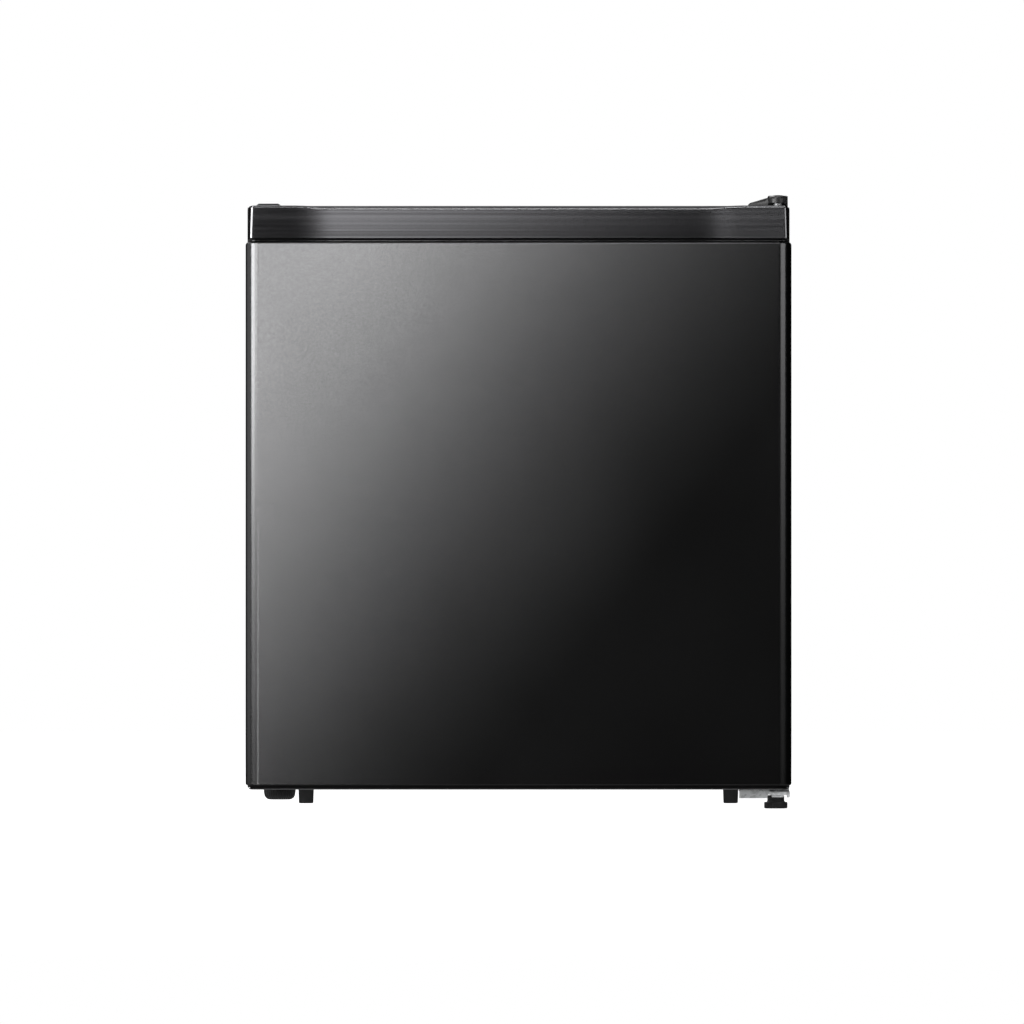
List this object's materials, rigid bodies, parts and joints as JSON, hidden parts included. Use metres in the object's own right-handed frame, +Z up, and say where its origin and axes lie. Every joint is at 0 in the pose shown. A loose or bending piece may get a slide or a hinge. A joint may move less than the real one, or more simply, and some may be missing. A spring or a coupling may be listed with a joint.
{
  "type": "mini fridge",
  "caption": "Compact single-door cube refrigerator with a right-hand hinged dark steel door, top finger pocket, ice compartment, shelf and rear compressor.",
  "frame": {"origin": "centre of the footprint of the whole object at floor level, under the right front foot's plane", "axes": "+X to the right seen from the front, +Y towards the back, +Z up; the door faces -Y"},
  "size_m": [0.442, 0.466, 0.4975],
  "materials": {
    "black_steel": "satin",
    "brushed_cap": "satin",
    "cabinet_paint": "satin",
    "compressor_paint": "gloss",
    "zinc_steel": "satin",
    "aluminium": "satin",
    "copper": "satin",
    "liner_white": "satin",
    "white_trim": "satin",
    "clear_plastic": "gloss",
    "shelf_glass": "gloss",
    "black_plastic": "satin",
    "black_rubber": "matte",
    "seal_rubber": "matte",
    "foam": "matte"
  },
  "bodies": {
    "cabinet": {"side_panel_left": "cabinet_paint", "side_panel_right": "cabinet_paint", "top_panel": "cabinet_paint", "back_panel": "cabinet_paint", "base_plate": "zinc_steel", "front_frame": "cabinet_paint", "insulation": "foam", "inner_liner": "liner_white", "rear_foot_left": "black_plastic", "rear_foot_right": "black_plastic", "top_hinge_plate": "zinc_steel", "top_hinge_pin": "zinc_steel", "top_hinge_screw_1": "zinc_steel", "top_hinge_screw_2": "zinc_steel", "top_hinge_cover": "black_plastic", "spare_hole_cover": "black_plastic", "lower_hinge_bracket": "zinc_steel", "lower_hinge_pin": "zinc_steel", "lower_hinge_screw_1": "zinc_steel", "lower_hinge_screw_2": "zinc_steel", "ice_box": "aluminium", "tray_rail_left": "white_trim", "tray_rail_right": "white_trim", "thermostat_housing": "white_trim", "compressor": "compressor_paint", "compressor_grommet_1": "black_rubber", "compressor_grommet_2": "black_rubber", "compressor_grommet_3": "black_rubber", "compressor_grommet_4": "black_rubber", "compressor_bolt_1": "zinc_steel", "compressor_bolt_2": "zinc_steel", "compressor_bolt_3": "zinc_steel", "compressor_bolt_4": "zinc_steel", "relay_cover": "black_plastic", "cord_gland": "black_plastic", "condenser": "compressor_paint", "liquid_tube": "copper", "filter_drier": "copper", "capillary_tube": "copper", "suction_tube": "copper", "discharge_tube": "copper", "process_tube": "copper"},
    "door": {"door_skin": "black_steel", "door_foam": "foam", "door_top_cap": "brushed_cap", "door_bottom_cap": "black_plastic", "door_bush_top": "black_plastic", "door_bush_bottom": "black_plastic", "door_liner": "liner_white", "door_gasket": "seal_rubber", "door_rack_lower": "clear_plastic", "door_rack_upper": "clear_plastic"},
    "ice_flap": {"ice_flap": "clear_plastic"},
    "drip_tray": {"drip_tray": "clear_plastic"},
    "shelf": {"shelf_glass": "shelf_glass", "shelf_front_trim": "white_trim", "shelf_rear_trim": "white_trim"},
    "thermostat_dial": {"thermostat_dial": "white_trim"},
    "front_foot_left": {"front_foot_left": "black_plastic"},
    "front_foot_right": {"front_foot_right": "black_plastic"}
  },
  "joints": [
    {"name": "door_hinge", "type": "hinge", "parent": "cabinet", "child": "door", "pos_m": [0.21, -0.213, 0.25], "axis": [0, 0, 1], "range_deg": [0, 130]},
    {"name": "ice_flap_hinge", "type": "hinge", "parent": "cabinet", "child": "ice_flap", "pos_m": [-0.051, -0.07025, 0.438], "axis": [-1, 0, 0], "range_deg": [0, 80]},
    {"name": "drip_tray_slide", "type": "slide", "parent": "cabinet", "child": "drip_tray", "axis": [0, -1, 0], "range_m": [0, 0.085]},
    {"name": "shelf_slide", "type": "slide", "parent": "cabinet", "child": "shelf", "axis": [0, -1, 0], "range_m": [0, 0.07]},
    {"name": "thermostat_turn", "type": "hinge", "parent": "cabinet", "child": "thermostat_dial", "pos_m": [0.129, -0.05, 0.43], "axis": [0, 1, 0], "range_deg": [0, 300]},
    {"name": "front_foot_left_screw", "type": "slide", "parent": "cabinet", "child": "front_foot_left", "axis": [0, 0, -1], "range_m": [0, 0.012]},
    {"name": "front_foot_right_screw", "type": "slide", "parent": "cabinet", "child": "front_foot_right", "axis": [0, 0, -1], "range_m": [0, 0.01]}
  ]
}
